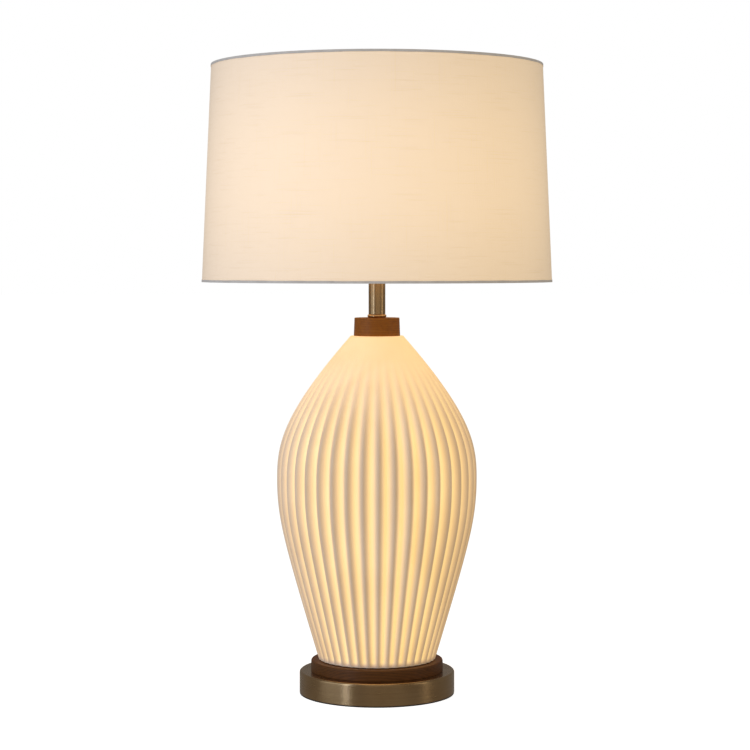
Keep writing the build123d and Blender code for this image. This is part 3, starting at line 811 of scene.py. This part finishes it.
# ------------------------------------------------------------------- ceramic body
@dataclass
class CeramicBody:
    """The fluted body: a shell that is fluted outside and smooth inside."""

    bottom_radius: float = 0.0687
    bottom_lean: float = 0.0420
    bottom_rise: float = 0.1414
    widest_height: float = 0.2124
    handle_below: float = 0.0466
    handle_above: float = 0.0390
    top_radius: float = 0.0307
    top_lean: float = 0.0804
    top_drop: float = 0.0917
    valley_wall: float = 0.0032
    flutes: int = 40
    flute_turn: float = radians(1.0)
    flute_depth: float = 0.0068
    run_in: Point = (-0.0050, 0.0085)
    run_out: Point = (0.246, 0.364)
    crest_glow: float = 0.12
    shoulder_glow: float = 0.62
    wave_power: float = 1.1
    foot_dark: Point = (0.0004, 0.0065)
    columns_per_flute: int = 16
    rows: int = 124
    inner_rows: int = 12
    outline_points: int = 400
    foot_rows: tuple[float, ...] = (
        0.0003, 0.0009, 0.0017, 0.0026, 0.0040, 0.0055, 0.0070, 0.0085
    )

    def profile(self, count: int) -> Array:
        """The side's outline, from the foot to the lip.

        Args:
            count: Points on each of its two curves.

        Returns:
            (radius, height) points.
        """
        span = Span.of("ceramic_body")
        widest = span.bottom + self.widest_height
        foot = (self.bottom_radius, span.bottom)
        foot_handle = (self.bottom_radius + self.bottom_lean, span.bottom + self.bottom_rise)
        lip = (self.top_radius, span.top)
        lip_handle = (self.top_radius + self.top_lean, span.top - self.top_drop)
        girth = (span.radius, widest)
        under = (span.radius, widest - self.handle_below)
        over = (span.radius, widest + self.handle_above)
        low = bezier([foot, foot_handle, under, girth], count)
        high = bezier([girth, over, lip_handle, lip], count)
        return np.concatenate([low, high[1:]])

    def build(self) -> Piece:
        """Make the shell.

        Formula: the reach from the axis is the profile's radius less the depth at that height
        times a wave, (1 - cos(flutes x angle)) / 2. Thinness is the crest's level plus the rest
        times the wave's power where there are flutes, and an even level on the smooth
        shoulder; it falls to 0 at the foot's very edge.

        Returns:
            The closed shell with its thinness stored on it.
        """
        span = Span.of("ceramic_body")
        fine = self.profile(self.outline_points)
        even = span.bottom + (span.top - span.bottom) * np.linspace(0.0, 1.0, self.rows)
        heights = np.unique(np.concatenate([even, span.bottom + np.array(self.foot_rows)]))
        radius = np.interp(heights, fine[:, 1], fine[:, 0])
        rise = heights - span.bottom
        shoulder = smooth_step(rise, *self.run_out)
        fade = smooth_step(rise, *self.run_in) * (1.0 - shoulder)
        depth = self.flute_depth * radius / span.radius * fade
        angles = round_angles(self.flutes * self.columns_per_flute)
        phase = (angles + pi / 2.0 - self.flute_turn) * self.flutes
        wave = (1.0 - np.cos(phase)) / 2.0
        outer = radius[:, None] - depth[:, None] * wave
        inner_heights = np.linspace(span.top, span.bottom, self.inner_rows)
        wall = self.flute_depth + self.valley_wall
        inner_radius = np.interp(inner_heights, fine[:, 1], fine[:, 0]) - wall
        inner = np.broadcast_to(inner_radius[:, None], (self.inner_rows, len(angles)))
        level = np.concatenate([heights, inner_heights])[:, None]
        piece = looped_mesh("fluted_body", wound(np.concatenate([outer, inner]), level, angles))
        foot = smooth_step(rise, *self.foot_dark)[:, None]
        fluted = self.crest_glow + (1.0 - self.crest_glow) * wave**self.wave_power
        glow = (fluted + (self.shoulder_glow - fluted) * shoulder[:, None]) * foot
        stored = np.concatenate([glow, np.ones(inner.shape)])
        thinness = piece.data.attributes.new("thinness", "FLOAT", "POINT")
        thinness.data.foreach_set("value", stored.astype(np.float32).ravel())
        settle(piece, "lamp_base", "bisque", Finish.BISQUE, "ceramic_body")
        return piece


# ---------------------------------------------------------------------- the shade
@dataclass
class DrumShade:
    """The tapered drum: cloth skin, folded hems, back seam, hoops and spider."""

    columns: int = 288
    rows: int = 48
    skin_thickness: float = 0.001
    hem_thickness: float = 0.00042
    hem_height: float = 0.0029
    top_drop: float = 0.0006
    waver: float = 0.00016
    waver_waves: tuple[Point, ...] = ((5, 0.0), (13, 1.0), (31, 2.0))
    seam_width: float = 0.012
    seam_thickness: float = 0.0003
    seam_sink: float = 0.0002
    seam_rows: int = 40
    seam_columns: int = 9

    def cone(self) -> tuple[Span, float]:
        """The shade's outer cone.

        Returns:
            The whole shade's span, with its bottom radius, and its top radius.
        """
        low = Span.of("shade_bottom_hem")
        high = Span.of("shade_top_hem")
        return Span(AXIS, low.radius, low.bottom, high.top), high.radius

    def radius_at(self, height: Array) -> Array:
        """The outer radius at each height, straight between the two edges."""
        span, top = self.cone()
        top_radius = top - (span.radius - top) * self.hem_height / (span.top - span.bottom)
        return np.interp(height, [span.bottom, span.top], [span.radius, top_radius])

    def build_skin(self) -> Piece:
        """Make the cloth as one thin closed cone with its own UV map in metres.

        Formula: the outer wall is the shade's cone less the hem's thickness, the inner wall a
        skin's thickness further in; u is the arc length at the middle height and v the height.

        Returns:
            The skin.
        """
        span, top = self.cone()
        edge = self.hem_thickness
        up = np.linspace(span.bottom + edge, span.top - self.top_drop - edge, self.rows)
        heights = np.concatenate([up, up[::-1]])
        inset = np.repeat([edge, edge + self.skin_thickness], self.rows)
        reach = self.radius_at(heights) - inset
        angles = round_angles(self.columns)
        piece = looped_mesh("shade_cloth", wound(reach[:, None], heights[:, None], angles))
        along = np.linspace(0.0, pi * (span.radius + top), self.columns + 1)
        up_cloth = np.append(heights, heights[0] + 1e-4)
        u, v = np.meshgrid(along, up_cloth)
        uv = np.stack([u, v], -1)
        corners = np.stack([uv[:-1, :-1], uv[:-1, 1:], uv[1:, 1:], uv[1:, :-1]], 2)
        layer = piece.data.uv_layers.new(name="cloth")
        layer.data.foreach_set("uv", corners.astype(np.float32).ravel())
        settle(piece, "shade", "linen", Finish.LINEN, "shade_skin")
        return piece

    def build_hem(self, name: str, node: str, upward: int) -> Piece:
        """Make one hem: a tape folded over the edge, not quite straight.

        Formula: the tape's section is a rounded band outside the cloth with a lip over the
        edge; its free edge wavers by the sum of three sines of the angle.

        Args:
            name: The piece's name.
            node: The frame's hem.
            upward: 1 where the band runs up from the edge, -1 where it runs down.

        Returns:
            The hem.
        """
        span = self.cone()[0]
        edge = span.bottom if upward > 0 else span.top - self.top_drop
        far = edge + upward * self.hem_height
        thin = self.hem_thickness
        inner = thin + self.skin_thickness
        soft = thin * 0.45
        corners = [
            (-inner, edge, soft),
            (0.0, edge, soft),
            (0.0, far, soft),
            (-thin, far, soft),
            (-thin, edge + upward * thin, 0.0),
            (-inner, edge + upward * thin, soft),
        ]
        outline = rounded_outline(corners if upward > 0 else corners[::-1], 4)
        angles = round_angles(self.columns)
        waves = sum(np.sin(count * angles + shift) for count, shift in self.waver_waves)
        wander = self.waver * waves / 2.0
        share = np.clip((outline[:, 1] - edge) * upward / self.hem_height, 0.0, 1.0)[:, None] ** 2
        height = outline[:, 1:] + share * wander * upward
        reach = self.radius_at(height) + outline[:, :1]
        piece = looped_mesh(name, wound(reach, height, angles))
        settle(piece, "shade", "hem_tape", Finish.HEM, node)
        return piece

    def build_seam(self) -> Piece:
        """Make the overlap at the back, where the cloth's two ends are glued.

        Formula: a strip of the cone, a seam's width wide, that stands a seam's thickness out of
        the cloth and falls to nothing at its sides.

        Returns:
            The seam.
        """
        span = self.cone()[0]
        up = np.linspace(span.bottom + self.hem_height, span.top - self.hem_height, self.seam_rows)
        across = np.linspace(-1.0, 1.0, self.seam_columns)
        angles = pi / 2.0 + across * self.seam_width / 2.0 / span.radius
        proud = self.seam_thickness * (1.0 - np.abs(across) ** 6)
        skin = self.radius_at(up)[:, None] - self.hem_thickness
        outside = wound(skin + proud, up[:, None], angles)
        inside = wound(skin - self.seam_sink, up[:, None], angles[::-1])
        points = np.concatenate([outside, inside], 1)
        loop = 2 * self.seam_columns
        near = np.arange(self.seam_columns - 1)
        far = loop - 1 - near
        last = (self.seam_rows - 1) * loop
        ends = np.stack([near, far, far - 1, near + 1], -1)
        tops = last + np.stack([near, near + 1, far - 1, far], -1)
        quads = np.concatenate([grid_quads(self.seam_rows, loop, False), ends, tops])
        piece = fill_mesh("shade_seam", points, quads)
        uv = np.stack([points[..., 0] + pi / 2.0, points[..., 2]], -1).reshape(-1, 2)
        layer = piece.data.uv_layers.new(name="cloth")
        layer.data.foreach_set("uv", uv[quads.ravel()].astype(np.float32).ravel())
        settle(piece, "shade", "linen", Finish.LINEN)
        return piece

    def build(self) -> None:
        """Make the whole shade: its cloth, hems and seam, and dress its spider and bottom hoop.
        """
        skin = self.build_skin()
        top_hem = self.build_hem("upper_hem", "shade_top_hem", -1)
        bottom_hem = self.build_hem("lower_hem", "shade_bottom_hem", 1)
        seam = self.build_seam()
        dress(Finish.PAINT, "spider", "shade_bottom_ring")
        span, top = self.cone()


# ----------------------------------------------------- felt, rubber, wood and brass
@dataclass
class Foot:
    """The base: felt pad, brass drum, wooden ring and the ring under the ceramic."""

    hole: float = 0.00525
    wood_edge: float = 0.0024
    pad_swell_into_shade: float = 0.0018
    seal_width: float = 0.008

    def build(self) -> None:
        """Make the pieces of the foot and dress the drum and what it hides."""
        pad = Span.of("felt_pad")
        # The pad is widened past the frame's so that its dark edge fills the gap under the drum as
        # painted shade.
        pad_radius = pad.radius + self.pad_swell_into_shade
        corners = [
            (0.0, pad.bottom, 0.0),
            (pad_radius, pad.bottom, 0.0003),
            (pad_radius, pad.top, 0.0002),
            (0.0, pad.top, 0.0),
        ]
        felt = turned_body("felt_disc", rounded_outline(corners, 5, False), 160)
        settle(felt, "lamp_base", "felt", Finish.FELT_AND_GAP_SHADE, "felt_pad")
        corners = Span.of("wood_ring").sleeve(self.hole, 0.0004, self.wood_edge, 0.0002)
        wood = turned_ring("turned_ring", rounded_outline(corners, 8), 224)
        # The ring takes the darkened copy of the collar's wood, as painted shade under the belly.
        settle(wood, "lamp_base", "stained_wood", Finish.SHADED_WOOD, "wood_ring")
        gasket = Span.of("bottom_gasket")
        corners = gasket.sleeve(gasket.radius - self.seal_width, 0.0003, 0.0003, 0.0001)
        seal = turned_ring("seal_ring", rounded_outline(corners, 4), 160)
        settle(seal, "lamp_base", "black_rubber", Finish.RUBBER, "bottom_gasket")
        dress(Finish.BRASS, "base_cover")
        dress(Finish.BLACK, "cord_inlet")
        dress(Finish.IRON, "base_weight")
        dress(Finish.ZINC, "base_washer", "base_nut", "threaded_pipe")


@dataclass
class Neck:
    """The wooden collar, the brass bead and the tube up into the shade."""

    hole: float = 0.00525
    collar_taper: float = 0.0008
    collar_edge: float = 0.0008
    spigot_height: float = 0.005
    spigot_radius: float = 0.0202
    tube_wall: float = 0.001

    def build(self) -> None:
        """Make the pieces of the neck."""
        collar = Span.of("wood_collar")
        seat = collar.bottom + self.spigot_height
        upper = collar.radius - self.collar_taper
        corners = [
            (self.spigot_radius, collar.bottom, 0.0003),
            (self.spigot_radius, seat, 0.0),
            (collar.radius, seat, 0.0003),
            (upper, collar.top, self.collar_edge),
            (self.hole, collar.top, 0.0002),
            (self.hole, collar.bottom, 0.0002),
        ]
        wood = turned_ring("turned_collar", rounded_outline(corners, 7), 160)
        settle(wood, "lamp_base", "stained_wood", Finish.WOOD, "wood_collar")
        tube = Span.of("neck_tube")
        bead = Span.of("neck_bead")
        turn = np.linspace(-pi / 2.0, pi / 2.0, 15)
        middle = (bead.top + bead.bottom) / 2.0
        half = (bead.top - bead.bottom) / 2.0
        reach = tube.radius + (bead.radius - tube.radius) * np.cos(turn)
        bulge = np.stack([reach, middle + half * np.sin(turn)], -1)
        outline = np.concatenate([bulge, [[self.hole, bead.top], [self.hole, bead.bottom]]])
        brass_bead = turned_ring("brass_bead", outline, 128)
        settle(brass_bead, "lamp_base", "antique_brass", Finish.BRASS, "neck_bead")
        corners = tube.sleeve(tube.radius - self.tube_wall, 0.0003, 0.0003, 0.0002)
        pipe = turned_ring("brass_neck", rounded_outline(corners, 4), 128)
        settle(pipe, "lamp_base", "antique_brass", Finish.BRASS, "neck_tube")


# --------------------------------------------------------------------- electrics
@dataclass
class ScrewCap:
    """A bulb's metal cap with its rolled thread."""

    node: str
    body: str
    pitch: float
    crest: float
    tip_radius: float
    tip_height: float
    cone_height: float
    run_out: Point = (0.006, 0.002)
    rim: float = 0.0012
    bevel: float = 0.0004
    columns: int = 72
    rows: int = 64

    def build(self) -> None:
        """Make the cap.

        Formula: the reach is the cap's radius less half a crest, plus half a crest times
        cos(angle - 2 pi height / pitch), which climbs one pitch a turn; the thread fades out at
        both ends. The tip and the insulating cone below it are plain.
        """
        span = Span.of(self.node)
        low = span.bottom + self.tip_height + self.cone_height
        heights = np.linspace(low, span.top - self.rim, self.rows)
        angles = round_angles(self.columns)
        start, end = (span.top - drop for drop in self.run_out)
        fade_in = smooth_step(heights, low, low + self.pitch)
        fade = fade_in * (1.0 - smooth_step(heights, start, end))
        wave = np.cos(angles[None, :] - 2.0 * pi * heights[:, None] / self.pitch)
        reach = span.radius - self.crest * (0.5 - 0.5 * wave * fade[:, None])
        root = span.radius - self.crest
        tip = np.array([
            (self.tip_radius * 0.5, span.bottom),
            (self.tip_radius, span.bottom + self.tip_height * 0.5),
            (self.tip_radius, span.bottom + self.tip_height),
            (root, low - self.bevel),
        ])
        rim = np.array([
            (span.radius - self.crest * 0.5, span.top - self.bevel),
            (root, span.top),
        ])
        wide = np.ones(self.columns)
        rows = np.concatenate([tip[:, :1] * wide, reach, rim[:, :1] * wide])
        levels = np.concatenate([tip[:, 1], heights, rim[:, 1]])
        points = wound(rows, levels[:, None], angles, span.centre)
        poles = (*span.centre, span.bottom), (*span.centre, span.top)
        piece = poled_mesh(self.node + "_thread", points, *poles)
        settle(piece, self.body, "nickel", Finish.NICKEL, self.node)


@dataclass
class GlassGlobe:
    """A frosted envelope on its cap."""

    node: str
    body: str
    neck_radius: float
    neck_rise: float
    shoulder_drop: float
    strength: float
    wall: float = 0.001
    columns: int = 72
    side_points: int = 26
    dome_points: int = 18

    def outline(self, inset: float) -> Array:
        """The envelope's side, from the neck up to the pole.

        Args:
            inset: How far inside the outer surface.

        Returns:
            (radius, height) points.
        """
        span = Span.of(self.node)
        reach = span.radius - inset
        middle = span.top - span.radius
        neck = self.neck_radius - inset
        start = (neck, span.bottom)
        rising = (neck, span.bottom + self.neck_rise)
        swelling = (reach, middle - self.shoulder_drop)
        side = bezier([start, rising, swelling, (reach, middle)], self.side_points)
        turn = np.linspace(0.0, pi / 2.0, self.dome_points)[1:]
        dome = np.stack([reach * np.cos(turn), middle + reach * np.sin(turn)], -1)
        dome[-1, 0] = 0.0
        return np.concatenate([side, dome])

    def build(self) -> None:
        """Make the envelope as one closed wall, open only towards its cap."""
        span = Span.of(self.node)
        outline = np.concatenate([self.outline(self.wall)[::-1], self.outline(0.0)])
        piece = turned_body(self.node + "_glass", outline, self.columns, span.centre)
        frost = LitGlass(self.node + "_frost", span.bottom, span.top - span.radius, self.strength)
        settle(piece, self.body, "frosted_glass", frost, self.node)


@dataclass
class Electrics:
    """Socket, switch, bulbs, night-light and the leads inside."""

    def build(self) -> None:
        """Make the bulbs and dress everything else."""
        parts = (
            ScrewCap("bulb_cap", "bulb_base", 0.00363, 0.0011, 0.0045, 0.002, 0.005),
            GlassGlobe("bulb_globe", "bulb_glass", 0.0126, 0.021, 0.025, 1.0),
            ScrewCap("night_bulb_cap", "night_bulb_base", 0.00254, 0.0008, 0.0026, 0.0015, 0.0025),
            GlassGlobe("night_bulb_globe", "night_bulb_glass", 0.0057, 0.008, 0.009, 4.0, 0.0008),
        )
        for part in parts:
            part.build()
        dress(Finish.BRIGHT_BRASS, "socket_cap", "socket_shell", "centre_contact")
        dress(Finish.CARD, "socket_liner")
        dress(Finish.BLACK, "socket_interior", "switch_knob")
        dress(Finish.NICKEL, "screw_shell")
        dress(Finish.WHITE, "night_socket")
        dress(Finish.ZINC, "night_bracket", "night_clamp_screw", "night_socket_nut")
        dress(Finish.JACKET, "supply_lead", "branch_lead")


@dataclass
class HarpSet:
    """The harp, its saddle, ferrules and finial."""

    def build(self) -> None:
        """Dress the harp's metal."""
        dress(Finish.BRASS, "harp_saddle", "harp", "ferrule_left", "ferrule_right")
        dress(Finish.BRASS, "finial_insert", "finial_knob")


# ------------------------------------------------------------------------- studio
@dataclass(frozen=True)
class Softbox:
    """A soft rectangular light.

    Azimuth is in degrees from the camera's side, positive to the right; radiance is the
    brightness that a reflection shows.
    """

    name: str
    azimuth: float
    elevation: float
    width: float
    tall: float
    radiance: float
    tint: Colour


@dataclass
class Studio:
    """Pale floor, soft lights and the camera."""

    distance: float = 2.5
    aside: float = -0.0023
    eye_height: float = 0.5055
    pitch: float = radians(3.014)
    lens: float = 102.8
    sensor: float = 36.0
    floor_size: float = 60.0
    ambient: Colour = (0.205, 0.195, 0.18)
    light_reach: float = 2.1
    light_height: float = 0.5
    boxes: tuple[Softbox, ...] = (
        Softbox("key", -70.0, 6.0, 1.6, 2.2, 0.64, (0.78, 0.95, 1.18)),
        Softbox("strip", -45.0, 6.0, 0.32, 2.2, 2.8, (0.78, 0.98, 1.32)),
        Softbox("fill", 76.0, 3.0, 0.42, 1.8, 1.15, (1.0, 0.98, 0.88)),
        Softbox("front", 14.0, 6.0, 2.6, 2.0, 0.21, (1.0, 0.94, 0.79)),
        Softbox("overhead", 0.0, 62.0, 1.8, 1.3, 0.5, (1.0, 0.98, 0.95)),
    )

    def add_floor(self) -> None:
        """Lay the pale floor."""
        half = self.floor_size / 2.0
        ends = ((-half, -half, 0.0), (half, -half, 0.0), (half, half, 0.0), (-half, half, 0.0))
        floor = fill_mesh("floor", np.array(ends), np.array([[0, 1, 2, 3]]))
        board = Board("pale_floor")
        mottle = board.noise(board.place(), 3, 2.0)
        paint = board.finish(
            Base_Color=board.blend(mottle, (0.86, 0.86, 0.86), (0.9, 0.9, 0.9)),
            Roughness=0.9,
            Emission_Color=(1.0, 1.0, 1.0),
            Emission_Strength=0.86,
        )
        floor.data.materials.append(paint)
        floor.visible_diffuse = False
        floor.visible_glossy = False
        floor.visible_shadow = False

    def add_world(self) -> None:
        """Surround the lamp with even light, white behind it."""
        world = bpy.data.worlds.new("studio")
        bpy.context.scene.world = world
        board = Board(world)
        ray = board.node("ShaderNodeLightPath")
        colour = board.blend(ray.outputs["Is Camera Ray"], self.ambient, (1.0, 1.0, 1.0))
        backdrop = board.node("ShaderNodeBackground", NOTHING, {"Color": colour})
        board.node("ShaderNodeOutputWorld", NOTHING, {"Surface": backdrop.outputs[0]})

    def add_softbox(self, box: Softbox) -> None:
        """Hang a softbox on a sphere round the lamp, facing the lamp.

        Args:
            box: The softbox.
        """
        light = bpy.data.lights.new(box.name, "AREA")
        light.shape = "RECTANGLE"
        light.size = box.width
        light.size_y = box.tall
        light.energy = box.radiance * box.width * box.tall * pi
        light.color = box.tint
        holder = bpy.data.objects.new(box.name, light)
        turn, rise = radians(box.azimuth), radians(box.elevation)
        out = self.light_reach * cos(rise)
        height = self.light_height + self.light_reach * sin(rise)
        holder.location = (out * sin(turn), -out * cos(turn), height)
        holder.rotation_euler = (pi / 2.0 - rise, 0.0, turn)
        holder.visible_camera = False
        bpy.context.scene.collection.objects.link(holder)

    def add_camera(self) -> None:
        """Place the camera in front of the lamp, looking a little down on it."""
        data = bpy.data.cameras.new("camera")
        data.lens = self.lens
        data.sensor_width = self.sensor
        data.clip_end = 200.0
        camera = bpy.data.objects.new("camera", data)
        camera.location = (self.aside, -self.distance, self.eye_height)
        camera.rotation_euler = (pi / 2.0 - self.pitch, 0.0, 0.0)
        bpy.context.scene.collection.objects.link(camera)
        bpy.context.scene.camera = camera

    def build(self) -> None:
        """Set up the studio."""
        self.add_camera()
        self.add_floor()
        self.add_world()
        for box in self.boxes:
            self.add_softbox(box)
        view = bpy.context.scene.view_settings
        view.view_transform = "Standard"
        view.look = "None"


def main() -> None:
    """Build the lamp and report its pieces."""
    logging.basicConfig(level=logging.INFO, format="%(name)s %(message)s")
    Studio().build()
    CeramicBody().build()
    DrumShade().build()
    Foot().build()
    Neck().build()
    HarpSet().build()
    Electrics().build()
    bpy.context.view_layer.update()


if __name__ == "__main__":
    main()
